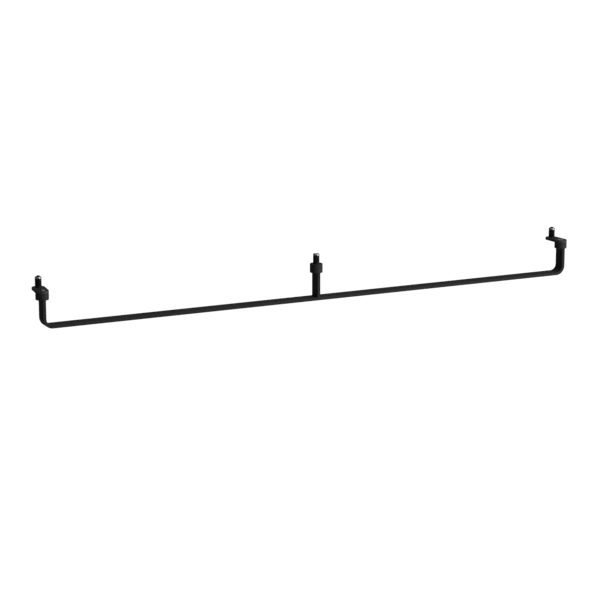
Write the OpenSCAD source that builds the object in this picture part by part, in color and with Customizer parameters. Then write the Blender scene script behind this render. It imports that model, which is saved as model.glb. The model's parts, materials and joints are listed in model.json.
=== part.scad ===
// Towel rail bent from flat bar, hung under a basin by three expanding plugs.
// The origin is on the middle plug's axis, in the plane where the seats meet the basin.
// X runs along the rail, Y goes back towards the wall and Z points up.

/* [Rail] */
// Length over the outer faces of the two end posts
rail_length = 900; // [300:10:1400]
// Depth of the flat bar from front to back
bar_width = 20; // [16:0.5:28]
// Thickness of the flat bar
bar_thickness = 5; // [4:0.5:8]
// Radius of the bar's four rolled edges
bar_edge_radius = 0.5; // [0.2:0.1:1.5]
// Inside radius of the two bends
bend_radius = 10; // [5:0.5:20]
// Height of the seats above the rail's top face
seat_height = 52; // [40:1:120]

/* [Blocks] */
// Diameter of the three round blocks
block_diameter = 20; // [18:0.5:30]
// Height of the middle block, which is also that of an end block with its arm
block_height = 14; // [12:0.5:30]
// Chamfer on both rims of a block
block_chamfer = 0.5; // [0.2:0.1:1.5]

/* [Swivel arms] */
// Width of an arm, and diameter of its round ends
arm_width = 20; // [16:0.5:28]
// Thickness of an arm
arm_thickness = 4; // [4:0.5:7]
// Distance between an arm's pivot and its plug
arm_reach = 24; // [20:0.5:60]
// Turn of an arm from straight back towards the rail's middle, in degrees
arm_turn = 6; // [-30:1:45]

/* [Pivot screws] */
// Thread diameter of the screw that an arm swivels on
pivot_thread = 5; // [4:0.5:6]
// Diameter of its countersunk head
pivot_head = 10; // [8:0.5:12]
// Width across the flats of its hexagon socket
pivot_socket = 3; // [2:0.5:4]

/* [Plugs] */
// Diameter of the rubber sleeve and of the washer under it
sleeve_diameter = 10; // [10:0.5:14]
// Thickness of the washer
washer_height = 1.6; // [1:0.1:3]
// Height of the rubber sleeve
sleeve_height = 11; // [8:0.5:24]
// Thickness of the round nut that squeezes the sleeve
nut_height = 3; // [2:0.1:6]
// Diameter of the round nut
nut_diameter = 9.9; // [8.5:0.1:10]
// Thread diameter of the plug screws and the stud
plug_thread = 6; // [4:0.5:6.5]
// Diameter of a plug screw's countersunk head
plug_head = 12; // [10:0.5:14]
// Width across the flats of a plug screw's hexagon socket
plug_socket = 4; // [2.5:0.5:4.5]
// Length of a plug screw that stands out of its nut
thread_proud = 1.5; // [0.5:0.5:8]

/* [Hidden] */
// Radial play of a thread or a plain shank in its hole
shank_play = 0.05;
// Depth of a countersunk head below the face around it
head_sink = 0.2;
// Straight rim of a countersunk head above its cone
head_rim = 0.3;
// Depth of a hexagon socket
socket_depth = 2;
// Chamfer on the end of a thread
thread_chamfer = 0.6;
// Chamfer on the rims of a nut
nut_chamfer = 0.5;
// Chamfer on the rims of a washer
washer_chamfer = 0.2;
// Radius of the rubber sleeve's two rims
sleeve_rim_radius = 0.4;
// Solid metal left under a blind hole
hole_floor = 2;
// Space between a screw's end and the bottom of its hole
tip_gap = 0.5;
// Depth to which the middle post's foot laps over the rail's rolled edges, as a share of their radius
foot_lap_share = 0.5;
// Cuts run past the faces that they open by this much
overrun = 1;

// Height of a face or axis above the seats
rail_top_z = -seat_height;
post_top_z = -block_height;
arm_bottom_z = -arm_thickness;
// Distance of an end post's middle from the rail's middle
post_x = rail_length / 2 - bar_thickness / 2;
end_block_height = block_height - arm_thickness;
pivot_hole_depth = end_block_height - hole_floor;
pivot_screw_length = arm_thickness - head_sink + pivot_hole_depth - tip_gap;
stud_hole_depth = block_height - hole_floor;
sleeve_top_z = washer_height + sleeve_height;
plug_height = sleeve_top_z + nut_height;
plug_screw_length = arm_thickness - head_sink + plug_height + thread_proud;
stud_length = stud_hole_depth - tip_gap + plug_height;
bend_centre_x = post_x - bar_thickness / 2 - bend_radius;
bend_centre_z = rail_top_z + bend_radius;

$fn = 96;

// Finishes
black_paint = [0.13, 0.13, 0.13];
black_rubber = [0.08, 0.08, 0.08];
dark_steel = [0.25, 0.25, 0.26];
bare_steel = [0.72, 0.72, 0.70];

// A rectangle with its four corners rounded, centred on the origin
module rounded_rectangle(x_size, y_size, radius) {
    square([x_size - 2 * radius, y_size], center = true);
    square([x_size, y_size - 2 * radius], center = true);
    for (x_side = [-1, 1], y_side = [-1, 1])
        translate([x_side * (x_size / 2 - radius), y_side * (y_size / 2 - radius)])
            circle(r = radius);
}

// The flat bar's section: X is its thickness and Y its depth
module bar_section() {
    rounded_rectangle(bar_thickness, bar_width, bar_edge_radius);
}

// A disc standing on z = 0 with a chamfer on both rims
module chamfered_disc(diameter, height, chamfer) {
    radius = diameter / 2;
    rotate_extrude()
        polygon([[0, 0], [radius - chamfer, 0], [radius, chamfer],
                 [radius, height - chamfer], [radius - chamfer, height], [0, height]]);
}

// A countersunk screw with its head's face at z = 0 and its thread pointing down
module countersunk_screw(thread, head, length, socket) {
    cone = (head - thread) / 2;
    difference() {
        rotate_extrude()
            polygon([[0, 0], [head / 2, 0], [head / 2, -head_rim],
                     [thread / 2, -head_rim - cone],
                     [thread / 2, thread_chamfer - length],
                     [thread / 2 - thread_chamfer, -length], [0, -length]]);
        translate([0, 0, -socket_depth])
            cylinder(d = socket / cos(30), h = socket_depth + overrun, $fn = 6);
    }
}

// The hole for such a screw through a plate whose face is at z = 0
module countersunk_hole(thread, head, plate) {
    shank = thread / 2 + shank_play;
    seat = head / 2 + shank_play;
    cone_top = -head_sink - head_rim;
    rotate_extrude()
        polygon([[0, overrun], [seat, overrun], [seat, cone_top],
                 [shank, cone_top - seat + shank], [shank, -plate - overrun],
                 [0, -plate - overrun]]);
}

// Puts a piece that is drawn at the middle on an end post's axis, on the left or the right
module at_end(side) {
    translate([side * post_x, 0, 0]) children();
}

// Puts a piece that is drawn at the middle on the plug's axis at an arm's far end
module at_plug(side) {
    at_end(side)
        rotate([0, 0, side * arm_turn])
            translate([0, arm_reach, 0]) children();
}

// One half of the bar: straight half, bend and end post
module bar_half() {
    translate([0, 0, rail_top_z - bar_thickness / 2])
        rotate([0, 90, 0])
            linear_extrude(bend_centre_x) bar_section();
    translate([bend_centre_x, 0, bend_centre_z])
        rotate([90, 0, 0])
            rotate([0, 0, -90])
                rotate_extrude(angle = 90)
                    translate([bend_radius + bar_thickness / 2, 0]) bar_section();
    translate([post_x, 0, bend_centre_z])
        linear_extrude(post_top_z - bend_centre_z) bar_section();
}

// The rail and its two end posts are one length of flat bar
module rail_bar() {
    color(black_paint) {
        bar_half();
        mirror([1, 0, 0]) bar_half();
    }
}

// The middle post stands on the rail, and its foot laps over the rail's rolled edges
module middle_post() {
    foot_z = rail_top_z - foot_lap_share * bar_edge_radius;
    color(black_paint)
        difference() {
            translate([0, 0, foot_z])
                linear_extrude(post_top_z - foot_z) bar_section();
            translate([-bar_thickness, 0, rail_top_z - bar_thickness / 2])
                rotate([0, 90, 0])
                    linear_extrude(2 * bar_thickness) bar_section();
        }
}

// An end block is lower than the middle one by the arm that lies on it
module end_block(side) {
    color(black_paint)
        at_end(side)
            difference() {
                translate([0, 0, post_top_z])
                    chamfered_disc(block_diameter, end_block_height, block_chamfer);
                translate([0, 0, arm_bottom_z - pivot_hole_depth])
                    cylinder(r = pivot_thread / 2 + shank_play, h = pivot_hole_depth + overrun);
            }
}
module left_block() { end_block(-1); }
module right_block() { end_block(1); }

// The middle block holds a stud in place of an arm
module middle_block() {
    color(black_paint)
        difference() {
            translate([0, 0, post_top_z])
                chamfered_disc(block_diameter, block_height, block_chamfer);
            translate([0, 0, -stud_hole_depth])
                cylinder(r = plug_thread / 2 + shank_play, h = stud_hole_depth + overrun);
        }
}

// An arm is a plate with two round ends and rolled edges
module arm_plate() {
    module half_section() {
        intersection() {
            rounded_rectangle(arm_width, arm_thickness, bar_edge_radius);
            translate([0, -arm_thickness / 2]) square([arm_width / 2, arm_thickness]);
        }
    }
    translate([0, 0, -arm_thickness / 2]) {
        rotate_extrude() half_section();
        translate([0, arm_reach, 0])
            rotate_extrude() half_section();
        translate([0, arm_reach, 0])
            rotate([90, 0, 0])
                linear_extrude(arm_reach)
                    rounded_rectangle(arm_width, arm_thickness, bar_edge_radius);
    }
}

// The pivot screw is countersunk from above and the plug screw from below
module arm(side) {
    color(black_paint)
        difference() {
            at_end(side)
                rotate([0, 0, side * arm_turn]) arm_plate();
            at_end(side)
                countersunk_hole(pivot_thread, pivot_head, arm_thickness);
            at_plug(side)
                translate([0, 0, arm_bottom_z])
                    rotate([180, 0, 0])
                        countersunk_hole(plug_thread, plug_head, arm_thickness);
        }
}
module left_arm() { arm(-1); }
module right_arm() { arm(1); }

// A pivot screw holds an arm down on its block and lets it swivel
module pivot_screw(side) {
    color(bare_steel)
        at_end(side)
            translate([0, 0, -head_sink])
                countersunk_screw(pivot_thread, pivot_head, pivot_screw_length, pivot_socket);
}
module left_pivot_screw() { pivot_screw(-1); }
module right_pivot_screw() { pivot_screw(1); }

// A plug screw comes up through the arm, the washer, the sleeve and the nut
module plug_screw(side) {
    color(dark_steel)
        at_plug(side)
            translate([0, 0, arm_bottom_z + head_sink])
                rotate([180, 0, 0])
                    countersunk_screw(plug_thread, plug_head, plug_screw_length, plug_socket);
}
module left_plug_screw() { plug_screw(-1); }
module right_plug_screw() { plug_screw(1); }

// The stud in the middle block ends flush with its nut
module middle_stud() {
    color(bare_steel)
        translate([0, 0, plug_height - stud_length])
            chamfered_disc(plug_thread, stud_length, thread_chamfer);
}

// A disc with chamfered rims and a hole for the plug's thread
module drilled_disc(diameter, height, chamfer) {
    difference() {
        chamfered_disc(diameter, height, chamfer);
        translate([0, 0, -overrun])
            cylinder(r = plug_thread / 2 + shank_play, h = height + 2 * overrun);
    }
}

// A washer as wide as the sleeve lies on each seat
module washer() {
    color(dark_steel) drilled_disc(sleeve_diameter, washer_height, washer_chamfer);
}
module left_washer() { at_plug(-1) washer(); }
module middle_washer() { washer(); }
module right_washer() { at_plug(1) washer(); }

// A rubber sleeve stands on its washer and bulges when the nut is drawn down
module sleeve() {
    wall = sleeve_diameter / 2 - plug_thread / 2 - shank_play;
    color(black_rubber)
        rotate_extrude()
            translate([sleeve_diameter / 2 - wall / 2, washer_height + sleeve_height / 2])
                rounded_rectangle(wall, sleeve_height, sleeve_rim_radius);
}
module left_sleeve() { at_plug(-1) sleeve(); }
module middle_sleeve() { sleeve(); }
module right_sleeve() { at_plug(1) sleeve(); }

// A round nut with chamfered rims sits on each sleeve
module nut() {
    color(bare_steel)
        translate([0, 0, sleeve_top_z])
            drilled_disc(nut_diameter, nut_height, nut_chamfer);
}
module left_nut() { at_plug(-1) nut(); }
module middle_nut() { nut(); }
module right_nut() { at_plug(1) nut(); }

rail_bar();
middle_post();
left_block();
middle_block();
right_block();
left_arm();
right_arm();
left_pivot_screw();
right_pivot_screw();
left_plug_screw();
right_plug_screw();
middle_stud();
left_washer();
middle_washer();
right_washer();
left_sleeve();
middle_sleeve();
right_sleeve();
left_nut();
middle_nut();
right_nut();
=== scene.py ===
"""Looks of a matt black towel rail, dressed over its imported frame.

The rail is one length of flat bar with upturned ends. The two end posts and a middle post carry
round blocks. A short arm swivels on each end block, and three rubber plugs with round nuts go up
into the basin. Lengths are in metres, and every size that the frame holds is read from it.
"""

import json
import logging
import math
from collections.abc import Sequence
from dataclasses import dataclass
from enum import Enum

import bmesh
import bpy
from mathutils import Matrix, Vector


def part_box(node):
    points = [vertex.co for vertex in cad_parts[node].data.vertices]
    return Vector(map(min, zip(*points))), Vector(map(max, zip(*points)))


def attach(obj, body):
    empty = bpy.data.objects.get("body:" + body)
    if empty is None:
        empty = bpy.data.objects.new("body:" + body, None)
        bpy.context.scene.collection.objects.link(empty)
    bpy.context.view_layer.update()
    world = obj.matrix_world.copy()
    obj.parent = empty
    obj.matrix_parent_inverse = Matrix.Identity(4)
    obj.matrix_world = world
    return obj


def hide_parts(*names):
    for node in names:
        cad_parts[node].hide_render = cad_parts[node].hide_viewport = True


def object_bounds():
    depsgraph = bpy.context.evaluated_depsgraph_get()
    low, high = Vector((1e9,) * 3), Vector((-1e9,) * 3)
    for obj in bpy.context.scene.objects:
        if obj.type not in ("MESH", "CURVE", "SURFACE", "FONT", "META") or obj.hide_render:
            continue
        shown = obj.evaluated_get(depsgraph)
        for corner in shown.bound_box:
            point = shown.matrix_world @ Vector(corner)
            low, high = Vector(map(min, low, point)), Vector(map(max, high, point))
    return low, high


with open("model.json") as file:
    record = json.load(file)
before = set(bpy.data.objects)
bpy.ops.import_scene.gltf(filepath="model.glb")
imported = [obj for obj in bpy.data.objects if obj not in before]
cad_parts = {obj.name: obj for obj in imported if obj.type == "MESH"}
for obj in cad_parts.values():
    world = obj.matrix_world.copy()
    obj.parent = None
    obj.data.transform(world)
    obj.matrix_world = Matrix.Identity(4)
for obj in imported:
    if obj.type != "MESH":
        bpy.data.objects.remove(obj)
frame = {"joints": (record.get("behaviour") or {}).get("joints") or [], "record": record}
cad_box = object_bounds()

MM = 0.001
UP = Vector((0, 0, 1))
QUARTER_TURN = math.pi / 2
WELD_DISTANCE = 0.001 * MM
SHARP_ANGLE = math.radians(32)
ARC_STEP = math.radians(10)
LATHE_SEGMENTS = 96
SUPPORT_INSET = 0.1 * MM
SHORTEST_SUPPORTED = 4 * SUPPORT_INSET
SCREW_PLAY = 0.05 * MM
PIVOT_SCREW_RADIUS = 2.5 * MM
PIVOT_SCREW_PITCH = 0.8 * MM
PLUG_SCREW_RADIUS = 3 * MM
PLUG_SCREW_PITCH = 1 * MM
Vert = bmesh.types.BMVert
Edge = bmesh.types.BMEdge
Edges = Sequence[Edge]
Socket = bpy.types.NodeSocket
Colour = tuple[float, float, float]
log = logging.getLogger("towel_rail")


class Side(Enum):
    """The three places along the rail."""

    LEFT = "left"
    MIDDLE = "middle"
    RIGHT = "right"


class Slot(Enum):
    """The record's material slots."""

    PAINT = "black_paint"
    RUBBER = "black_rubber"
    DARK_STEEL = "dark_steel"
    BARE_STEEL = "bare_steel"


class Coated(Enum):
    """The kinds of piece that carry powder coat, each with its own grain."""

    BAR = "bar"
    BLOCK = "block"
    ARM = "arm"


@dataclass(frozen=True)
class Corner:
    """A corner of an outline: its two coordinates, and the radius that rounds it."""

    across: float
    up: float
    radius: float = 0.0


@dataclass(frozen=True)
class Round:
    """A round piece that stands upright, as the frame places it."""

    axis: Vector
    bottom: float
    top: float
    radius: float

    @classmethod
    def of_node(cls, node: str) -> "Round":
        """Reads a round node's place from its box.

        Args:
            node: name of the node in the frame.

        Returns:
            The node's axis, ends and radius.
        """
        low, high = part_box(node)
        middle = (low + high) / 2
        return cls(Vector((middle.x, middle.y, 0)), low.z, high.z, (high.x - low.x) / 2)

    @property
    def height(self) -> float:
        """Distance between the two ends."""
        return self.top - self.bottom


def joint_place(name: str) -> Vector:
    """Reads a point on a joint's axis from the frame."""
    return next(Vector(joint["pos_m"]) for joint in frame["joints"] if joint["name"] == name)


def mount_place(name: str) -> Vector:
    """Reads a mount's origin from the frame."""
    mounts = frame["record"]["mounts"]
    return next(Vector(mount["pos_m"]) for mount in mounts if mount["name"] == name)


class Form:
    """A mesh under construction, shaped by bmesh operators."""

    def __init__(self) -> None:
        """Starts an empty form."""
        self.bm = bmesh.new()

    def point(self, place: Vector) -> Vert:
        """Adds one vertex at a place and returns it."""
        return bmesh.ops.create_vert(self.bm, co=place)["vert"][0]

    def draw(self, tip: Vert, end: Vector) -> Vert:
        """Draws one edge from a vertex.

        Args:
            tip: vertex that the edge starts from.
            end: where it ends.

        Returns:
            The vertex at its end.
        """
        made = bmesh.ops.extrude_vert_indiv(self.bm, verts=[tip])
        tip = made["verts"][0]
        tip.co = end
        return tip

    def line(self, tip: Vert, end: Vector) -> Vert:
        """Draws a straight line, with a supporting point near each end of a long one.

        Args:
            tip: vertex that the line starts from.
            end: where it ends.

        Returns:
            The vertex at its end.
        """
        start = tip.co.copy()
        span = end - start
        stops = [end]
        if span.length > SHORTEST_SUPPORTED:
            inset = span.normalized() * SUPPORT_INSET
            stops = [start + inset, end - inset, end]
        for stop in stops:
            tip = self.draw(tip, stop)
        return tip

    def arc(self, tip: Vert, centre: Vector, axis: Vector, angle: float) -> Vert:
        """Draws an arc from a vertex.

        Args:
            tip: vertex that the arc starts from.
            centre: centre of the arc.
            axis: direction about which it turns.
            angle: how far it turns, in radians.

        Returns:
            The vertex at its end.
        """
        steps = max(2, math.ceil(angle / ARC_STEP))
        made = bmesh.ops.spin(self.bm, geom=[tip], cent=centre, axis=axis, angle=angle, steps=steps)
        return next(part for part in made["geom_last"] if isinstance(part, Vert))

    def outline(self, corners: Sequence[Corner], closed: bool = False) -> None:
        """Draws a chain of edges with rounded corners in the plane of X and Z.

        Args:
            corners: the corners in order, across along X and up along Z.
            closed: whether the last corner joins the first.
        """
        points = [Vector((corner.across, 0, corner.up)) for corner in corners]
        count = len(corners)
        order = list(range(1, count)) + ([0] if closed else [])
        tip = self.point(self._rounding(corners, points, 0)[1] if closed else points[0])
        for index in order:
            last_open = not closed and index == count - 1
            if last_open or corners[index].radius == 0:
                tip = self.line(tip, points[index])
                continue
            entry, _, centre, axis, turn = self._rounding(corners, points, index)
            tip = self.arc(self.line(tip, entry), centre, axis, turn)
        self.weld()

    @staticmethod
    def _rounding(
        corners: Sequence[Corner], points: Sequence[Vector], index: int
    ) -> tuple[Vector, Vector, Vector, Vector, float]:
        """Works out the arc that rounds one corner.

        Args:
            corners: all the corners.
            points: their places.
            index: which corner is rounded.

        Returns:
            The arc's entry, exit, centre, axis and angle.
        """
        here, radius = points[index], corners[index].radius
        back = (points[index - 1] - here).normalized()
        ahead = (points[(index + 1) % len(points)] - here).normalized()
        turn = math.pi - back.angle(ahead)
        reach = radius * math.tan(turn / 2)
        centre = here + (back + ahead).normalized() * (radius / math.cos(turn / 2))
        axis = (-back).cross(ahead).normalized()
        return here + back * reach, here + ahead * reach, centre, axis, turn

    def turn(self, segments: int = LATHE_SEGMENTS) -> None:
        """Spins everything drawn a full turn about the Z axis.

        Args:
            segments: number of segments round the turn.
        """
        drawn = self.bm.verts[:] + self.bm.edges[:]
        bmesh.ops.spin(
            self.bm, geom=drawn, cent=(0, 0, 0), axis=UP, angle=math.tau, steps=segments,
            use_merge=True,
        )
        self.weld()

    def push(self, edges: Edges, offset: Vector) -> list[Edge]:
        """Extrudes edges in a straight line.

        Args:
            edges: edges to extrude.
            offset: how far and which way.

        Returns:
            The edges at the far end.
        """
        made = bmesh.ops.extrude_edge_only(self.bm, edges=edges)["geom"]
        verts = [part for part in made if isinstance(part, Vert)]
        bmesh.ops.translate(self.bm, verts=verts, vec=offset)
        far = set(verts)
        return [part for part in made if isinstance(part, Edge) and set(part.verts) <= far]

    def swing(
        self, edges: Edges, centre: Vector, axis: Vector, angle: float, steps: int
    ) -> list[Edge]:
        """Extrudes edges along an arc, and gives the edges at its far end."""
        made = bmesh.ops.spin(self.bm, geom=edges, cent=centre, axis=axis, angle=angle, steps=steps)
        return [part for part in made["geom_last"] if isinstance(part, Edge)]

    def rim(self, height: float) -> list[Edge]:
        """Finds the open edges at a height."""
        return [
            edge for edge in self.bm.edges
            if len(edge.link_faces) < 2
            and all(abs(vert.co.z - height) < WELD_DISTANCE for vert in edge.verts)
        ]

    def cap(self) -> None:
        """Closes every open end with one flat face."""
        open_edges = [edge for edge in self.bm.edges if edge.is_boundary]
        bmesh.ops.holes_fill(self.bm, edges=open_edges, sides=0)

    def weld(self) -> None:
        """Merges the vertices that lie on each other."""
        bmesh.ops.remove_doubles(self.bm, verts=self.bm.verts, dist=WELD_DISTANCE)

    def take_in(self, other: "Form") -> None:
        """Adds another form's mesh to this one.

        Args:
            other: the other form, which ends here.
        """
        mesh = bpy.data.meshes.new("taken_in")
        other.bm.to_mesh(mesh)
        other.bm.free()
        self.bm.from_mesh(mesh)
        bpy.data.meshes.remove(mesh)

    def place(self, offset: Vector, turned: float = 0.0, flipped: bool = False) -> None:
        """Puts the form in its place.

        Args:
            offset: how far it moves.
            turned: its turn about the upright axis before that, in radians.
            flipped: whether it is turned upside down first.
        """
        matrix = Matrix.Translation(offset) @ Matrix.Rotation(turned, 4, "Z")
        if flipped:
            matrix = matrix @ Matrix.Rotation(math.pi, 4, "X")
        bmesh.ops.transform(self.bm, matrix=matrix, verts=self.bm.verts)

    def mark_turning(self, axis: Vector) -> None:
        """Stores on each vertex how far along its turned outline it lies.

        Args:
            axis: a point on the upright axis that the piece was turned on.
        """
        layer = self.bm.verts.layers.float.new("turned")
        for vert in self.bm.verts:
            vert[layer] = math.hypot(vert.co.x - axis.x, vert.co.y - axis.y) + vert.co.z

    def to_object(self, name: str) -> bpy.types.Object:
        """Makes an object of the form and ends the form.

        Args:
            name: name of the object.

        Returns:
            The new object, linked to the scene.
        """
        mesh = bpy.data.meshes.new(name)
        self.bm.to_mesh(mesh)
        self.bm.free()
        piece = bpy.data.objects.new(name, mesh)
        bpy.context.scene.collection.objects.link(piece)
        return piece

    def finish(self, name: str) -> bpy.types.Object:
        """Turns the form into a piece, smooth but for its sharp edges.

        Args:
            name: name of the piece.

        Returns:
            The new object, linked to the scene.
        """
        self.weld()
        bmesh.ops.recalc_face_normals(self.bm, faces=self.bm.faces)
        for face in self.bm.faces:
            face.smooth = True
        for edge in self.bm.edges:
            if len(edge.link_faces) == 2:
                edge.smooth = edge.calc_face_angle() < SHARP_ANGLE
        open_edges = sum(1 for edge in self.bm.edges if len(edge.link_faces) != 2)
        log.info("%s: %d faces, %d open edges", name, len(self.bm.faces), open_edges)
        return self.to_object(name)


class NodeGraph:
    """A small helper that adds and links the nodes of a material or a world."""

    def __init__(self, owner: bpy.types.Material | bpy.types.World, output: str) -> None:
        """Starts with nothing but an output.

        Args:
            owner: the material or the world.
            output: Blender's name for the output's node type.
        """
        owner.use_nodes = True
        self.tree = owner.node_tree
        self.tree.nodes.clear()
        self.output = self.tree.nodes.new(output)

    def add(self, kind: str, **values: float | tuple[float, ...]) -> bpy.types.Node:
        """Adds a node and sets its sockets.

        Args:
            kind: Blender's name for the node type.
            values: socket names, with underscores for spaces, and their values.

        Returns:
            The new node.
        """
        node = self.tree.nodes.new(kind)
        for name, value in values.items():
            node.inputs[name.replace("_", " ")].default_value = value
        return node

    def link(self, source: Socket, target: Socket) -> None:
        """Joins an output to an input."""
        self.tree.links.new(source, target)

    def work_out(self, operation: str, first: Socket, second: Socket) -> Socket:
        """Works out one value from two.

        Args:
            operation: Blender's name for what a Math node does.
            first: the first value.
            second: the second value.

        Returns:
            The result.
        """
        node = self.add("ShaderNodeMath")
        node.operation = operation
        self.link(first, node.inputs[0])
        self.link(second, node.inputs[1])
        return node.outputs[0]

    def between(
        self, value: Socket, low: float, high: float, span: tuple[float, float] = (0.3, 0.7)
    ) -> Socket:
        """Stretches a value to a range.

        Args:
            value: the value, such as a pattern's.
            low: result at the start of the span.
            high: result at its end.
            span: the values that give low and high.

        Returns:
            The stretched value.
        """
        start, end = span
        node = self.add("ShaderNodeMapRange", From_Min=start, From_Max=end, To_Min=low, To_Max=high)
        self.link(value, node.inputs["Value"])
        return node.outputs["Result"]

    def seen(self) -> Socket:
        """Tells what is looked at from what only gives light.

        Returns:
            1 where the camera, a gloss or a clear body looks, and 0 for other light.
        """
        path = self.add("ShaderNodeLightPath")
        value = path.outputs["Is Camera Ray"]
        for name in ("Is Glossy Ray", "Is Transmission Ray"):
            value = self.work_out("MAXIMUM", value, path.outputs[name])
        return value


class FinishGraph(NodeGraph):
    """The nodes of one of the object's finishes."""

    def __init__(self, name: str) -> None:
        """Starts a new material with a Principled shader."""
        self.material = bpy.data.materials.new(name)
        super().__init__(self.material, "ShaderNodeOutputMaterial")
        self.shader = self.add("ShaderNodeBsdfPrincipled")
        self.link(self.shader.outputs["BSDF"], self.output.inputs["Surface"])

    def place(self) -> Socket:
        """Gives the object coordinates."""
        return self.add("ShaderNodeTexCoord").outputs["Object"]

    def noise(self, size: float, detail: float, source: Socket) -> Socket:
        """Adds a noise pattern.

        Args:
            size: size of its patches in metres.
            detail: how many finer layers it has.
            source: coordinates that it reads.

        Returns:
            Its value.
        """
        node = self.add("ShaderNodeTexNoise", Scale=1 / size, Detail=detail)
        self.link(source, node.inputs["Vector"])
        return node.outputs["Fac"]

    def lines(self, size: float, detail: float) -> Socket:
        """Adds fine lines that run round a turned piece.

        Args:
            size: distance between the lines in metres.
            detail: how many finer layers they have.

        Returns:
            Their value.
        """
        along = self.add("ShaderNodeAttribute")
        along.attribute_name = "turned"
        node = self.add("ShaderNodeTexNoise", Scale=1 / size, Detail=detail)
        node.noise_dimensions = "1D"
        self.link(along.outputs["Fac"], node.inputs["W"])
        return node.outputs["Fac"]

    def colours(self, value: Socket, low: Colour, high: Colour) -> Socket:
        """Mixes two colours by a pattern.

        Args:
            value: the pattern's value.
            low: colour where it is low.
            high: colour where it is high.

        Returns:
            The mixed colour.
        """
        node = self.add("ShaderNodeMix")
        node.data_type = "RGBA"
        coloured = [socket for socket in node.inputs if socket.enabled and socket.type == "RGBA"]
        first, second = coloured
        first.default_value = (*low, 1)
        second.default_value = (*high, 1)
        self.link(self.between(value, 0, 1), node.inputs["Factor"])
        return next(socket for socket in node.outputs if socket.enabled)

    def relief(self, *layers: tuple[Socket, float, float]) -> None:
        """Stacks bump layers and gives them to the shader.

        Args:
            layers: for each layer its pattern, its depth in metres and its strength.
        """
        under = None
        for pattern, depth, strength in layers:
            bump = self.add("ShaderNodeBump", Distance=depth, Strength=strength)
            self.link(pattern, bump.inputs["Height"])
            if under is not None:
                self.link(under.outputs["Normal"], bump.inputs["Normal"])
            under = bump
        self.link(under.outputs["Normal"], self.shader.inputs["Normal"])


@dataclass(frozen=True)
class PowderCoat:
    """Matt black powder coat: orange peel, a soft mottle and a fine grain.

    Lengths are in metres. The roughness drifts slowly between its two values along the piece.
    """

    piece: Coated
    dark: Colour
    light: Colour
    roughness: tuple[float, float]
    relief: float
    gloss: float
    peel_size: float = 0.7 * MM
    peel_depth: float = 0.06 * MM
    mottle_size: float = 1.5 * MM
    mottle_depth: float = 0.15 * MM
    grain_size: float = 0.16 * MM
    grain_depth: float = 0.012 * MM
    drift_size: float = 60 * MM

    @classmethod
    def on_bar(cls) -> "PowderCoat":
        """The smooth coat on the flat bar."""
        return cls(
            Coated.BAR, dark=(0.0120, 0.0120, 0.0112), light=(0.0150, 0.0150, 0.0140),
            roughness=(0.56, 0.62), relief=0.2, gloss=0.36,
        )

    @classmethod
    def on_block(cls) -> "PowderCoat":
        """The coarser coat on the blocks."""
        return cls(
            Coated.BLOCK, dark=(0.0095, 0.0095, 0.0088), light=(0.0180, 0.0180, 0.0168),
            roughness=(0.45, 0.52), relief=0.7, gloss=0.4,
        )

    @classmethod
    def on_arm(cls) -> "PowderCoat":
        """The coarse and glossier coat on the arms' plates."""
        return cls(
            Coated.ARM, dark=(0.0120, 0.0120, 0.0112), light=(0.0200, 0.0200, 0.0187),
            roughness=(0.45, 0.52), relief=0.7, gloss=0.75,
        )

    def material(self) -> bpy.types.Material:
        """Builds the finish as a node material.

        Returns:
            The material.
        """
        graph = FinishGraph(f"powder_coat_{self.piece.value}")
        place = graph.place()
        peel = graph.noise(self.peel_size, detail=2, source=place)
        mottle = graph.noise(self.mottle_size, detail=3, source=place)
        grain = graph.noise(self.grain_size, detail=1, source=place)
        drift = graph.noise(self.drift_size, detail=2, source=place)
        shader = graph.shader
        graph.link(graph.colours(mottle, self.dark, self.light), shader.inputs["Base Color"])
        graph.link(graph.between(drift, *self.roughness), shader.inputs["Roughness"])
        shader.inputs["Specular IOR Level"].default_value = self.gloss
        graph.relief(
            (mottle, self.mottle_depth, self.relief),
            (peel, self.peel_depth, self.relief),
            (grain, self.grain_depth, self.relief),
        )
        return graph.material


@dataclass(frozen=True)
class Rubber:
    """Smooth black moulded rubber with a faint bloom."""

    dark: Colour = (0.0060, 0.0060, 0.0060)
    light: Colour = (0.0105, 0.0105, 0.0103)
    roughness: tuple[float, float] = (0.46, 0.6)
    gloss: float = 0.12
    bloom_size: float = 2.5 * MM
    skin_size: float = 0.4 * MM
    skin_depth: float = 0.015 * MM
    relief: float = 0.5

    def material(self) -> bpy.types.Material:
        """Builds the finish as a node material.

        Returns:
            The material.
        """
        graph = FinishGraph("moulded_rubber")
        place = graph.place()
        skin = graph.noise(self.skin_size, detail=2, source=place)
        bloom = graph.noise(self.bloom_size, detail=3, source=place)
        shader = graph.shader
        graph.link(graph.colours(bloom, self.dark, self.light), shader.inputs["Base Color"])
        graph.link(graph.between(bloom, *self.roughness), shader.inputs["Roughness"])
        shader.inputs["Specular IOR Level"].default_value = self.gloss
        graph.relief((skin, self.skin_depth, self.relief))
        return graph.material


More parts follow.
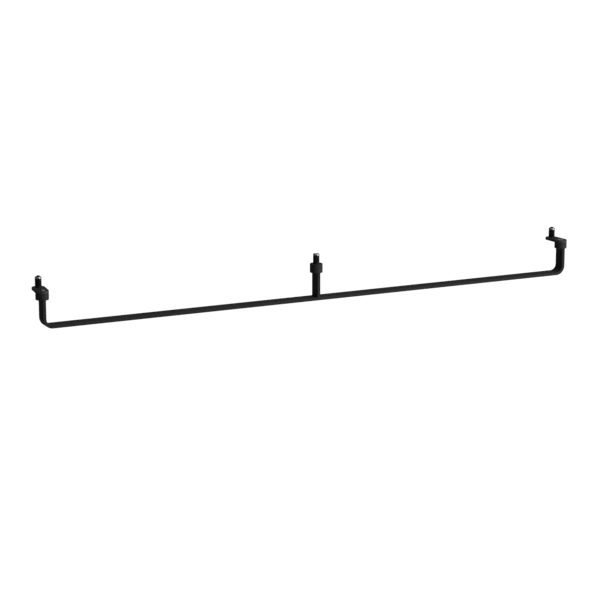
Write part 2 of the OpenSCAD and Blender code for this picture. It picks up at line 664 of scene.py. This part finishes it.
@dataclass(frozen=True)
class TurnedSteel:
    """Steel with the fine lines of the lathe.

    The edge value tints what it reflects at a grazing angle: 1 for clean metal, less under oxide.
    """

    name: str
    dark: Colour
    light: Colour
    roughness: tuple[float, float]
    edge: float = 1.0
    line_size: float = 0.09 * MM
    line_depth: float = 0.004 * MM
    cloud_size: float = 1.5 * MM
    relief: float = 0.6

    @classmethod
    def bare(cls) -> "TurnedSteel":
        """The bright steel of the nuts, the pivot screws and the stud."""
        return cls(
            "turned_steel", dark=(0.52, 0.52, 0.51), light=(0.60, 0.60, 0.59),
            roughness=(0.08, 0.16),
        )

    @classmethod
    def oxide(cls) -> "TurnedSteel":
        """The black oxide on the plug screws."""
        return cls(
            "oxide_steel", dark=(0.034,) * 3, light=(0.046,) * 3,
            roughness=(0.28, 0.42), edge=0.2,
        )

    @classmethod
    def worn_oxide(cls) -> "TurnedSteel":
        """The worn oxide on the washers."""
        return cls(
            "worn_oxide_steel", dark=(0.07,) * 3, light=(0.10,) * 3,
            roughness=(0.3, 0.45), edge=0.5,
        )

    def material(self) -> bpy.types.Material:
        """Builds the finish as a node material.

        Returns:
            The material.
        """
        graph = FinishGraph(self.name)
        lines = graph.lines(self.line_size, detail=3)
        clouds = graph.noise(self.cloud_size, detail=2, source=graph.place())
        shader = graph.shader
        shader.inputs["Metallic"].default_value = 1.0
        shader.inputs["Specular Tint"].default_value = (self.edge, self.edge, self.edge, 1)
        graph.link(graph.colours(clouds, self.dark, self.light), shader.inputs["Base Color"])
        graph.link(graph.between(lines, *self.roughness), shader.inputs["Roughness"])
        graph.relief((lines, self.line_depth, self.relief))
        return graph.material


@dataclass(frozen=True)
class Finishes:
    """The materials that the pieces are dressed in."""

    bar_paint: bpy.types.Material
    block_paint: bpy.types.Material
    arm_paint: bpy.types.Material
    rubber: bpy.types.Material
    dark_steel: bpy.types.Material
    washer_steel: bpy.types.Material
    bare_steel: bpy.types.Material

    @classmethod
    def mixed(cls) -> "Finishes":
        """Builds all the materials once."""
        return cls(
            bar_paint=PowderCoat.on_bar().material(),
            block_paint=PowderCoat.on_block().material(),
            arm_paint=PowderCoat.on_arm().material(),
            rubber=Rubber().material(),
            dark_steel=TurnedSteel.oxide().material(),
            washer_steel=TurnedSteel.worn_oxide().material(),
            bare_steel=TurnedSteel.bare().material(),
        )


def dress(
    piece: bpy.types.Object, material: bpy.types.Material, body: str, node: str
) -> None:
    """Gives a piece its finish, its body and the node that it stands for.

    Args:
        piece: the finished object.
        material: its node material.
        body: the body that it rides on.
        node: the node that it replaces.
    """
    piece.data.materials.append(material)
    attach(piece, body)
    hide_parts(node)


@dataclass(frozen=True)
class FlatBar:
    """The flat bar that the rail and the posts are made of, with the welds at its ends.

    A weld's fillet is hollow and runs along the broad sides. Over its last stretch, weld_end, it
    fades out towards the bar's edges.
    """

    width: float
    thickness: float
    edge_radius: float = 0.5 * MM
    weld_radius: float = 0.9 * MM
    weld_end: float = 2.5 * MM
    weld_steps: int = 6

    @classmethod
    def from_frame(cls) -> "FlatBar":
        """Reads the bar's section from the middle post."""
        low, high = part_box("middle_post")
        return cls(width=high.y - low.y, thickness=high.x - low.x)

    @property
    def weld_reach(self) -> float:
        """How far a weld runs along a broad side from its middle."""
        return self.width / 2 - self.edge_radius - 2 * SUPPORT_INSET

    def weld_angles(self) -> list[float]:
        """Divides a weld's quarter round into its steps."""
        return [QUARTER_TURN * step / self.weld_steps for step in range(self.weld_steps + 1)]

    def section(self, form: Form, centre: Vector) -> list[Edge]:
        """Draws the bar's level section, thin along X, with points where a weld fades out.

        Args:
            form: the form to draw in.
            centre: middle of the section.

        Returns:
            The section's edges.
        """
        half_x, half_y = self.thickness / 2, self.width / 2
        fades = [self.weld_end * (1 - math.sin(angle)) for angle in self.weld_angles()]
        stops = [self.weld_reach - fade for fade in fades]
        corners = []
        for x_side, y_side in ((1, 1), (-1, 1), (-1, -1), (1, -1)):
            ends = [Corner(x_side * half_x, y_side * stop) for stop in stops]
            corner = Corner(x_side * half_x, y_side * half_y, self.edge_radius)
            corners += [*ends, corner] if x_side == y_side else [corner, *reversed(ends)]
        form.outline(corners, closed=True)
        laid_flat = Matrix.Translation(centre) @ Matrix.Rotation(-QUARTER_TURN, 4, "X")
        bmesh.ops.transform(form.bm, matrix=laid_flat, verts=form.bm.verts)
        return form.bm.edges[:]

    def spread(self, edges: Edges, middle: float, amount: float) -> None:
        """Moves the broad sides apart, less and less towards the bar's edges, as a weld ends.

        Args:
            edges: the section's edges.
            middle: X of the section's middle.
            amount: how far each side moves out at the section's middle.
        """
        for vert in {vert for edge in edges for vert in edge.verts}:
            share = (abs(vert.co.y) - self.weld_reach + self.weld_end) / self.weld_end
            fade = math.sqrt(max(0.0, 1 - max(0.0, share) ** 2))
            vert.co.x += amount * fade * math.copysign(1, vert.co.x - middle)

    def flare(self, form: Form, edges: Edges, middle: float, way: int, opening: bool) -> Edges:
        """Runs the section through a weld's hollow fillet on its two broad sides.

        Args:
            form: the form to shape.
            edges: the section's edges.
            middle: X of the section's middle.
            way: 1 to go up, -1 to go down.
            opening: whether the fillet grows wider along the way.

        Returns:
            The section's edges at the far end.
        """
        angles = self.weld_angles()
        if not opening:
            angles.reverse()
            self.spread(edges, middle, self.weld_radius)
        for before, after in zip(angles, angles[1:]):
            rise = self.weld_radius * abs(math.sin(after) - math.sin(before))
            edges = form.push(edges, UP * way * rise)
            self.spread(edges, middle, self.weld_radius * (math.cos(before) - math.cos(after)))
        return edges


@dataclass(frozen=True)
class BentRail:
    """The long bar, with both ends bent up into posts."""

    bar: FlatBar
    low: Vector
    high: Vector
    bend_radius: float = 10 * MM
    bend_steps: int = 20

    @classmethod
    def from_frame(cls, bar: FlatBar) -> "BentRail":
        """Reads the rail's reach from its node."""
        return cls(bar, *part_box("rail_bar"))

    def build(self) -> Form:
        """Sweeps the bar from the top of the left post to the top of the right one.

        Returns:
            The form.
        """
        form = Form()
        half = self.bar.thickness / 2
        weld = self.bar.weld_radius
        left = self.low.x + half
        middle_radius = self.bend_radius + half
        bend = Vector((left + middle_radius, 0, self.low.z + half + middle_radius))
        far_bend = Vector((-bend.x, 0, bend.z))
        top = Vector((left, 0, self.high.z))
        post = UP * (top.z - weld - bend.z)
        towards_front = Vector((0, -1, 0))
        edges = self.bar.section(form, top)
        edges = self.bar.flare(form, edges, left, way=-1, opening=False)
        edges = form.push(edges, -post)
        edges = form.swing(edges, bend, towards_front, QUARTER_TURN, self.bend_steps)
        edges = form.push(edges, far_bend - bend)
        edges = form.swing(edges, far_bend, towards_front, QUARTER_TURN, self.bend_steps)
        edges = form.push(edges, post)
        self.bar.flare(form, edges, -left, way=1, opening=True)
        form.cap()
        return form

    def make(self, finishes: Finishes) -> None:
        """Builds the rail and dresses it."""
        piece = self.build().finish("rail_bent_bar")
        dress(piece, finishes.bar_paint, "rail", "rail_bar")


@dataclass(frozen=True)
class MiddleUpright:
    """The stub of flat bar between the rail and the middle block."""

    bar: FlatBar
    low: Vector
    high: Vector

    @classmethod
    def from_frame(cls, bar: FlatBar) -> "MiddleUpright":
        """Reads the post's reach from its node."""
        return cls(bar, *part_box("middle_post"))

    @property
    def rail_top(self) -> float:
        """Height of the rail's upper face."""
        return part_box("rail_bar")[0].z + self.bar.thickness

    def build(self) -> Form:
        """Sweeps the bar from inside the rail up to the block.

        Returns:
            The form.
        """
        form = Form()
        weld = self.bar.weld_radius
        edges = self.bar.section(form, UP * self.low.z)
        self.bar.spread(edges, 0, weld)
        edges = form.push(edges, UP * (self.rail_top - self.low.z))
        self.bar.spread(edges, 0, -weld)
        edges = self.bar.flare(form, edges, 0, way=1, opening=False)
        edges = form.push(edges, UP * (self.high.z - self.rail_top - 2 * weld))
        self.bar.flare(form, edges, 0, way=1, opening=True)
        form.cap()
        return form

    def make(self, finishes: Finishes) -> None:
        """Builds the post and dresses it."""
        piece = self.build().finish("rail_middle_upright")
        dress(piece, finishes.bar_paint, "rail", "middle_post")


@dataclass(frozen=True)
class SeatBlock:
    """A round block on a post, with a blind hole from above."""

    side: Side
    shape: Round
    hole_radius: float
    rim: float = 0.5 * MM
    edge: float = 0.15 * MM
    floor: float = 2 * MM

    @classmethod
    def from_frame(cls, side: Side) -> "SeatBlock":
        """Reads the block's place from its node. Its hole takes the stud or the pivot screw."""
        thread = PLUG_SCREW_RADIUS if side is Side.MIDDLE else PIVOT_SCREW_RADIUS
        return cls(side, Round.of_node(f"{side.value}_block"), thread + SCREW_PLAY)

    def build(self) -> Form:
        """Turns the block on a lathe.

        Returns:
            The form.
        """
        form = Form()
        radius, height = self.shape.radius, self.shape.height
        form.outline([
            Corner(0, 0),
            Corner(radius - self.rim, 0, self.edge),
            Corner(radius, self.rim, self.edge),
            Corner(radius, height - self.rim, self.edge),
            Corner(radius - self.rim, height, self.edge),
            Corner(self.hole_radius, height, self.edge),
            Corner(self.hole_radius, self.floor),
            Corner(0, self.floor),
        ])
        form.turn()
        form.place(self.shape.axis + UP * self.shape.bottom)
        return form

    def make(self, finishes: Finishes) -> None:
        """Builds the block and dresses it."""
        piece = self.build().finish(f"{self.side.value}_seat_block")
        dress(piece, finishes.block_paint, "rail", f"{self.side.value}_block")


@dataclass(frozen=True)
class Thread:
    """A screw thread's size.

    Its shares of the pitch say how deep the groove is, where the crest ends and where the root
    starts and ends.
    """

    radius: float
    pitch: float
    depth_share: float = 0.61
    crest_end_share: float = 0.125
    root_start_share: float = 0.45
    root_end_share: float = 0.68
    spare_turns: int = 2
    segments: int = 36

    def build(self, form: Form, bottom: float, top: float) -> None:
        """Winds the thread about the Z axis and trims its ends flat.

        Args:
            form: an empty form to build in.
            bottom: height of its lower end.
            top: height of its upper end.
        """
        pitch, crest = self.pitch, self.radius
        root = crest - self.depth_share * pitch
        profile = (
            (crest, 0.0),
            (crest, self.crest_end_share),
            (root, self.root_start_share),
            (root, self.root_end_share),
        )
        start = bottom - self.spare_turns * pitch
        turns = math.ceil((top - bottom) / pitch) + self.spare_turns + 1
        tip = form.point(Vector((crest, 0, start)))
        for index in range(1, turns * len(profile)):
            across, share = profile[index % len(profile)]
            rise = (index // len(profile) + share) * pitch
            tip = form.draw(tip, Vector((across, 0, start + rise)))
        drawn = form.bm.verts[:] + form.bm.edges[:]
        bmesh.ops.spin(
            form.bm, geom=drawn, cent=(0, 0, 0), axis=UP, dvec=(0, 0, pitch / self.segments),
            angle=math.tau, steps=self.segments,
        )
        form.weld()
        for height, normal in ((bottom, -UP), (top, UP)):
            whole = form.bm.verts[:] + form.bm.edges[:] + form.bm.faces[:]
            bmesh.ops.bisect_plane(
                form.bm, geom=whole, plane_co=(0, 0, height), plane_no=normal, clear_outer=True
            )


@dataclass(frozen=True)
class ThreadedPiece:
    """What the stud and the screws share: a thread with a chamfered end."""

    shape: Round
    pitch: float
    chamfer: float = 0.6 * MM

    def thread(self, radius: float, bottom: float, top: float) -> Form:
        """Winds a thread whose upper end is chamfered and closed.

        Args:
            radius: outer radius of the thread.
            bottom: height of its lower end.
            top: height of its upper end.

        Returns:
            The form.
        """
        form = Form()
        Thread(radius, self.pitch).build(form, bottom, top)
        for vert in form.bm.verts:
            limit = radius - self.chamfer + (top - vert.co.z)
            across = math.hypot(vert.co.x, vert.co.y)
            if across > limit:
                vert.co.x *= limit / across
                vert.co.y *= limit / across
        form.cap()
        return form


@dataclass(frozen=True)
class CountersunkScrew(ThreadedPiece):
    """A countersunk screw with a hexagon socket, drawn with its head at the bottom.

    The collar is the round strip of the head's face that the socket is bridged to. Its share is of
    the distance to the socket's corners, and the inset's share is of the socket's width.
    """

    thread_radius: float = PLUG_SCREW_RADIUS
    socket: float = 4 * MM
    socket_depth: float = 2 * MM
    head_rim: float = 0.3 * MM
    edge: float = 0.1 * MM
    collar_share: float = 1.12
    inset_share: float = 0.12
    socket_sides: int = 6

    def build(self, flipped: bool, turned: float) -> Form:
        """Winds the thread, turns the head and sinks the socket.

        Args:
            flipped: whether the head is at the top.
            turned: the socket's turn in radians.

        Returns:
            The form.
        """
        head, thread, length = self.shape.radius, self.thread_radius, self.shape.height
        cone_top = self.head_rim + head - thread
        form = self.thread(thread, cone_top, length)
        top = Form()
        socket_radius = self.socket / 2 / math.cos(math.pi / self.socket_sides)
        top.outline([
            Corner(socket_radius * self.collar_share, 0),
            Corner(head, 0, self.edge),
            Corner(head, self.head_rim, self.edge),
            Corner(thread, cone_top),
            Corner(0, cone_top),
        ])
        top.turn()
        self._sink_socket(top, socket_radius)
        form.take_in(top)
        bmesh.ops.recalc_face_normals(form.bm, faces=form.bm.faces)
        height = self.shape.top if flipped else self.shape.bottom
        form.place(self.shape.axis + UP * height, turned, flipped)
        return form

    def _sink_socket(self, form: Form, socket_radius: float) -> None:
        """Bridges the head's face to a hexagon and sinks it.

        Args:
            form: the form of the head.
            socket_radius: distance of the socket's corners from the axis.
        """
        rim = form.rim(0.0)
        made = bmesh.ops.create_circle(
            form.bm, cap_ends=False, segments=self.socket_sides, radius=socket_radius
        )
        hexagon = list({edge for vert in made["verts"] for edge in vert.link_edges})
        cuts = LATHE_SEGMENTS // self.socket_sides - 1
        bmesh.ops.subdivide_edges(form.bm, edges=hexagon, cuts=cuts)
        inside = socket_radius * (1 + self.collar_share) / 2
        hexagon = [
            edge for edge in form.bm.edges
            if not edge.link_faces and all(vert.co.length < inside for vert in edge.verts)
        ]
        bmesh.ops.bridge_loops(form.bm, edges=rim + hexagon)
        walls = form.push(hexagon, UP * self.socket_depth)
        bottom = bmesh.ops.contextual_create(form.bm, geom=walls)["faces"]
        inset = self.socket * self.inset_share
        bmesh.ops.inset_region(form.bm, faces=bottom, thickness=inset, depth=0)
        bmesh.ops.poke(form.bm, faces=bottom)


@dataclass(frozen=True)
class Stud(ThreadedPiece):
    """The threaded stud in the middle block."""

    @classmethod
    def from_frame(cls) -> "Stud":
        """Reads the stud's place from its node."""
        return cls(Round.of_node("middle_stud"), PLUG_SCREW_PITCH)

    def build(self) -> Form:
        """Winds the stud.

        Returns:
            The form.
        """
        form = self.thread(self.shape.radius, 0, self.shape.height)
        form.place(self.shape.axis + UP * self.shape.bottom)
        form.mark_turning(self.shape.axis)
        return form

    def make(self, finishes: Finishes) -> None:
        """Builds the stud and dresses it."""
        piece = self.build().finish("middle_threaded_stud")
        dress(piece, finishes.bare_steel, "rail", "middle_stud")


@dataclass(frozen=True)
class Countersink:
    """A countersunk hole through a plate whose upper face lies at height 0.

    Its way is 1 where the hole goes up from its countersunk face and -1 where it goes down.
    """

    axis: Vector
    seat: float
    hole: float
    face: float
    way: int
    rim: float = 0.5 * MM
    segments: int = 72

    def wall(self, thickness: float) -> Form:
        """Turns the hole's wall.

        Args:
            thickness: thickness of the plate.

        Returns:
            The form.
        """
        form = Form()
        cone_end = self.face + self.way * (self.rim + self.seat - self.hole)
        form.outline([
            Corner(self.seat, self.face),
            Corner(self.seat, self.face + self.way * self.rim),
            Corner(self.hole, cone_end),
            Corner(self.hole, self.face + self.way * thickness),
        ])
        form.turn(self.segments)
        form.place(self.axis)
        return form


@dataclass(frozen=True)
class SwivelArm:
    """A plate with two round ends that carries a plug beside its post, with its two screws."""

    side: Side
    pivot: Vector
    plug: Vector
    thickness: float
    width: float
    pivot_seat: float = 5.05 * MM
    plug_seat: float = 6.05 * MM
    pivot_socket: float = 3 * MM
    pivot_socket_turn: float = 0.3
    plug_socket_turn: float = 0.7
    edge_radius: float = 0.5 * MM
    steps: int = 40

    @classmethod
    def from_frame(cls, side: Side) -> "SwivelArm":
        """Reads the arm's place from its joint, its mount and its node.

        Args:
            side: the end of the rail that the arm is at.

        Returns:
            The arm.
        """
        low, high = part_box(f"{side.value}_arm")
        pivot = joint_place(f"{side.value}_arm_swivel")
        return cls(
            side, pivot, mount_place(f"{side.value}_plug"), high.z - low.z, 2 * (pivot.y - low.y)
        )

    @property
    def body(self) -> str:
        """The body that the arm and its plug ride on."""
        return f"{self.side.value}_swivel"

    def build(self) -> Form:
        """Runs the rolled edge round the plate, drills it and closes its faces.

        Returns:
            The form.
        """
        form = Form()
        along = self.plug - self.pivot
        reach = Vector((0, along.length, 0))
        half = self.width / 2
        inner = half - self.edge_radius - SUPPORT_INSET
        form.outline([
            Corner(inner, 0),
            Corner(half, 0, self.edge_radius),
            Corner(half, -self.thickness, self.edge_radius),
            Corner(inner, -self.thickness),
        ])
        edges = form.swing(form.bm.edges[:], Vector(), -UP, math.pi, self.steps)
        edges = form.push(edges, reach)
        edges = form.swing(edges, reach, -UP, math.pi, self.steps)
        form.push(edges, -reach)
        form.weld()
        top, bottom = 0.0, -self.thickness
        pivot_hole, plug_hole = PIVOT_SCREW_RADIUS + SCREW_PLAY, PLUG_SCREW_RADIUS + SCREW_PLAY
        for hole in (
            Countersink(Vector(), self.pivot_seat, pivot_hole, face=top, way=-1),
            Countersink(reach, self.plug_seat, plug_hole, face=bottom, way=1),
        ):
            form.take_in(hole.wall(self.thickness))
        for height in (top, bottom):
            rims = form.rim(height)
            bmesh.ops.triangle_fill(form.bm, edges=rims, use_beauty=True, use_dissolve=False)
        form.place(self.pivot, math.atan2(-along.x, along.y))
        return form

    def build_pivot_screw(self) -> Form:
        """Makes the screw that the arm swivels on, its head in the plate's upper face.

        Returns:
            The form.
        """
        shape = Round.of_node(f"{self.side.value}_pivot_screw")
        screw = CountersunkScrew(
            shape, PIVOT_SCREW_PITCH, thread_radius=PIVOT_SCREW_RADIUS, socket=self.pivot_socket
        ).build(flipped=True, turned=self.pivot_socket_turn)
        screw.mark_turning(self.pivot)
        return screw

    def build_plug_screw(self) -> Form:
        """Makes the screw that goes up through the plug, its head in the plate's lower face.

        Returns:
            The form.
        """
        shape = Round.of_node(f"{self.side.value}_plug_screw")
        screw = CountersunkScrew(shape, PLUG_SCREW_PITCH).build(
            flipped=False, turned=self.plug_socket_turn
        )
        screw.mark_turning(self.plug)
        return screw

    def make(self, finishes: Finishes) -> None:
        """Builds the arm with its two screws and dresses them.

        Args:
            finishes: the materials.
        """
        side = self.side.value
        arm = self.build().finish(f"{side}_swivel_plate")
        dress(arm, finishes.arm_paint, self.body, f"{side}_arm")
        pivot = self.build_pivot_screw().finish(f"{side}_pivot_countersunk")
        dress(pivot, finishes.bare_steel, "rail", f"{side}_pivot_screw")
        bolt = self.build_plug_screw().finish(f"{side}_plug_countersunk")
        dress(bolt, finishes.dark_steel, self.body, f"{side}_plug_screw")


@dataclass(frozen=True)
class Plug:
    """A rubber sleeve between a washer and the round nut that squeezes it."""

    side: Side
    body: str
    sleeve: Round
    nut: Round
    washer: Round
    bore: float = PLUG_SCREW_RADIUS + SCREW_PLAY
    sleeve_rim: float = 0.4 * MM
    nut_rim: float = 0.5 * MM
    nut_edge: float = 0.1 * MM
    washer_rim: float = 0.2 * MM
    washer_edge: float = 0.05 * MM

    @classmethod
    def from_frame(cls, side: Side) -> "Plug":
        """Reads the plug's place from its nodes.

        Args:
            side: the place along the rail that the plug is at.

        Returns:
            The plug.
        """
        body = "rail" if side is Side.MIDDLE else f"{side.value}_swivel"
        pieces = (Round.of_node(f"{side.value}_{piece}") for piece in ("sleeve", "nut", "washer"))
        return cls(side, body, *pieces)

    def build_sleeve(self) -> Form:
        """Turns the sleeve, with rounded rims.

        Returns:
            The form.
        """
        radius, height, rim = self.sleeve.radius, self.sleeve.height, self.sleeve_rim
        form = Form()
        form.outline([
            Corner(self.bore, 0, rim),
            Corner(radius, 0, rim),
            Corner(radius, height, rim),
            Corner(self.bore, height, rim),
        ], closed=True)
        form.turn()
        form.place(self.sleeve.axis + UP * self.sleeve.bottom)
        return form

    def build_ring(self, shape: Round, rim: float, edge: float) -> Form:
        """Turns a nut or a washer, with chamfered rims and a chamfered bore.

        Args:
            shape: the ring's place and size.
            rim: chamfer on its two outer rims.
            edge: radius that rounds the chamfers, and the bore's own chamfer.

        Returns:
            The form.
        """
        radius, height = shape.radius, shape.height
        form = Form()
        form.outline([
            Corner(self.bore, 0),
            Corner(radius - rim, 0, edge),
            Corner(radius, rim, edge),
            Corner(radius, height - rim, edge),
            Corner(radius - rim, height, edge),
            Corner(self.bore + edge, height, edge),
            Corner(self.bore, height - edge),
        ], closed=True)
        form.turn()
        form.place(shape.axis + UP * shape.bottom)
        form.mark_turning(shape.axis)
        return form

    def make(self, finishes: Finishes) -> None:
        """Builds the washer, the sleeve and the nut and dresses them.

        Args:
            finishes: the materials.
        """
        side = self.side.value
        washer_ring = self.build_ring(self.washer, self.washer_rim, self.washer_edge)
        washer = washer_ring.finish(f"{side}_plain_washer")
        dress(washer, finishes.washer_steel, self.body, f"{side}_washer")
        sleeve = self.build_sleeve().finish(f"{side}_rubber_plug")
        dress(sleeve, finishes.rubber, self.body, f"{side}_sleeve")
        nut_ring = self.build_ring(self.nut, self.nut_rim, self.nut_edge)
        nut = nut_ring.finish(f"{side}_round_nut")
        dress(nut, finishes.bare_steel, self.body, f"{side}_nut")


@dataclass(frozen=True)
class Viewpoint:
    """Where the camera stands: it looks at aim from a heading, a pitch and a distance."""

    aim: Vector = Vector((-0.02797, 0, -0.05557))
    heading: float = math.radians(25.7467)
    pitch: float = math.radians(12.6492)
    distance: float = 3.30056
    lens: float = 127.439
    sensor: float = 36.0
    farthest: float = 200.0

    def place(self) -> None:
        """Makes the camera."""
        data = bpy.data.cameras.new("camera")
        data.lens = self.lens
        data.sensor_width = self.sensor
        data.clip_end = self.farthest
        camera = bpy.data.objects.new("camera", data)
        bpy.context.scene.collection.objects.link(camera)
        level = math.cos(self.pitch)
        forward = Vector((
            math.sin(self.heading) * level, math.cos(self.heading) * level, -math.sin(self.pitch)
        ))
        camera.location = self.aim - forward * self.distance
        camera.rotation_euler = (QUARTER_TURN - self.pitch, 0, -self.heading)
        bpy.context.scene.camera = camera


@dataclass(frozen=True)
class SoftBox:
    """A square area lamp that faces the middle of the rail.

    Its bearing goes from the front (-Y) towards +X, and bearing and elevation are in degrees. Its
    level is what a white surface that faces it at the rail's middle sends back.
    """

    name: str
    bearing: float
    elevation: float
    distance: float
    size: float
    level: float

    def place(self) -> None:
        """Makes the lamp."""
        data = bpy.data.lights.new(self.name, "AREA")
        data.shape = "SQUARE"
        data.size = self.size
        data.energy = self.level * (math.pi * self.distance) ** 2
        lamp = bpy.data.objects.new(self.name, data)
        bpy.context.scene.collection.objects.link(lamp)
        bearing, elevation = math.radians(self.bearing), math.radians(self.elevation)
        level = math.cos(elevation)
        away = Vector((math.sin(bearing) * level, -math.cos(bearing) * level, math.sin(elevation)))
        lamp.location = away * self.distance
        lamp.rotation_euler = away.to_track_quat("Z", "Y").to_euler()
        lamp.visible_glossy = False
        lamp.visible_camera = False


@dataclass(frozen=True)
class Panel:
    """A plain studio panel that the camera doesn't see: it only reflects in the object."""

    name: str
    corner: Vector
    along: Vector
    across: Vector
    grey: float

    def place(self) -> None:
        """Makes the panel."""
        form = Form()
        start = form.point(self.corner)
        form.draw(start, self.corner + self.along)
        form.push(form.bm.edges[:], self.across)
        panel = form.to_object(self.name)
        material = bpy.data.materials.new(self.name)
        graph = NodeGraph(material, "ShaderNodeOutputMaterial")
        glow = graph.add("ShaderNodeEmission", Color=(self.grey, self.grey, self.grey, 1))
        graph.link(glow.outputs["Emission"], graph.output.inputs["Surface"])
        panel.data.materials.append(material)
        panel.visible_camera = False
        panel.visible_diffuse = False
        panel.visible_shadow = False


@dataclass(frozen=True)
class Wall:
    """An upright panel between two places on the floor plan, each as its X and Y."""

    name: str
    start: tuple[float, float]
    end: tuple[float, float]
    grey: float


@dataclass(frozen=True)
class Studio:
    """The floor, the white surroundings, the panels and the lamps.

    The floor's own glow and the distances that it grows over go from under the rail outwards.
    """

    floor_drop: float = 0.8
    floor_size: float = 80.0
    floor_colour: float = 0.8
    floor_glow: tuple[float, float] = (0.65, 0.95)
    glow_distances: tuple[float, float] = (1.5, 5.5)
    ambient: float = 0.1
    wall_top: float = 4.0
    walls: tuple[Wall, ...] = (
        Wall("left_panel", start=(-1.0, -2.6), end=(-1.0, 2.0), grey=0.10),
        Wall("front_panel", start=(-1.0, -2.6), end=(1.1, -3.2), grey=0.06),
        Wall("back_left_panel", start=(-1.0, 2.0), end=(0.1, 2.0), grey=0.01),
        Wall("back_panel", start=(0.1, 2.0), end=(3.0, 2.0), grey=0.07),
        Wall("right_panel", start=(3.0, -0.8), end=(3.0, 2.0), grey=0.10),
    )
    low_panel_rise: float = 0.02

    @property
    def ground(self) -> float:
        """Height of the floor, well below the hung rail."""
        return cad_box[0].z - self.floor_drop

    def surround(self) -> None:
        """Makes the world: white to look at, dim as a light."""
        world = bpy.data.worlds.new("surround")
        bpy.context.scene.world = world
        graph = NodeGraph(world, "ShaderNodeOutputWorld")
        background = graph.add("ShaderNodeBackground", Color=(1, 1, 1, 1))
        strength = graph.between(graph.seen(), self.ambient, 1.0, span=(0.0, 1.0))
        graph.link(strength, background.inputs["Strength"])
        graph.link(background.outputs["Background"], graph.output.inputs["Surface"])

    def floor_material(self) -> bpy.types.Material:
        """Makes the floor's material: matt with a glow that is only seen, and clear from below.

        Returns:
            The material.
        """
        material = bpy.data.materials.new("pale_floor")
        graph = NodeGraph(material, "ShaderNodeOutputMaterial")
        matt = graph.add("ShaderNodeBsdfDiffuse", Color=(*(self.floor_colour,) * 3, 1))
        away = graph.add("ShaderNodeVectorMath")
        away.operation = "LENGTH"
        graph.link(graph.add("ShaderNodeTexCoord").outputs["Object"], away.inputs[0])
        level = graph.between(away.outputs["Value"], *self.floor_glow, span=self.glow_distances)
        glow = graph.add("ShaderNodeEmission")
        graph.link(graph.work_out("MULTIPLY", graph.seen(), level), glow.inputs["Strength"])
        both = graph.add("ShaderNodeAddShader")
        graph.link(matt.outputs["BSDF"], both.inputs[0])
        graph.link(glow.outputs["Emission"], both.inputs[1])
        clear = graph.add("ShaderNodeBsdfTransparent")
        facing = graph.add("ShaderNodeNewGeometry")
        either = graph.add("ShaderNodeMixShader")
        graph.link(facing.outputs["Backfacing"], either.inputs["Fac"])
        graph.link(both.outputs["Shader"], either.inputs[1])
        graph.link(clear.outputs["BSDF"], either.inputs[2])
        graph.link(either.outputs["Shader"], graph.output.inputs["Surface"])
        return material

    def floor(self) -> None:
        """Lays the pale floor."""
        form = Form()
        bmesh.ops.create_grid(form.bm, x_segments=1, y_segments=1, size=self.floor_size / 2)
        form.place(UP * self.ground)
        floor = form.to_object("floor")
        floor.data.materials.append(self.floor_material())

    def panels(self) -> None:
        """Stands the walls, and adds a low panel to the left and a bright strip at the back."""
        rise = UP * (self.wall_top - self.ground)
        for wall in self.walls:
            start, end = Vector((*wall.start, 0)), Vector((*wall.end, 0))
            Panel(wall.name, UP * self.ground + start, end - start, rise, wall.grey).place()
        Panel(
            "low_panel", corner=Vector((-1.0, -0.6, self.ground + self.low_panel_rise)),
            along=Vector((1.3, 0, 0)), across=Vector((0, 2.6, 0)), grey=0.12,
        ).place()
        Panel(
            "back_strip", corner=Vector((0, 1.9, 0.34)),
            along=Vector((2.2, 0, 0)), across=Vector((0, 0, 0.2)), grey=0.26,
        ).place()

    def build(self) -> None:
        """Makes the whole studio."""
        bpy.context.scene.view_settings.view_transform = "Standard"
        self.surround()
        self.floor()
        self.panels()
        SoftBox("key", bearing=40, elevation=25, distance=8.0, size=3.0, level=0.6).place()
        SoftBox("back_fill", bearing=165, elevation=40, distance=3.0, size=1.5, level=0.25).place()


def main() -> None:
    """Builds every piece and the studio."""
    logging.basicConfig(level=logging.INFO, format="%(name)s: %(message)s")
    Viewpoint().place()
    Studio().build()
    finishes = Finishes.mixed()
    bar = FlatBar.from_frame()
    BentRail.from_frame(bar).make(finishes)
    MiddleUpright.from_frame(bar).make(finishes)
    for side in Side:
        SeatBlock.from_frame(side).make(finishes)
        Plug.from_frame(side).make(finishes)
    for side in (Side.LEFT, Side.RIGHT):
        SwivelArm.from_frame(side).make(finishes)
    Stud.from_frame().make(finishes)


if __name__ == "__main__":
    main()
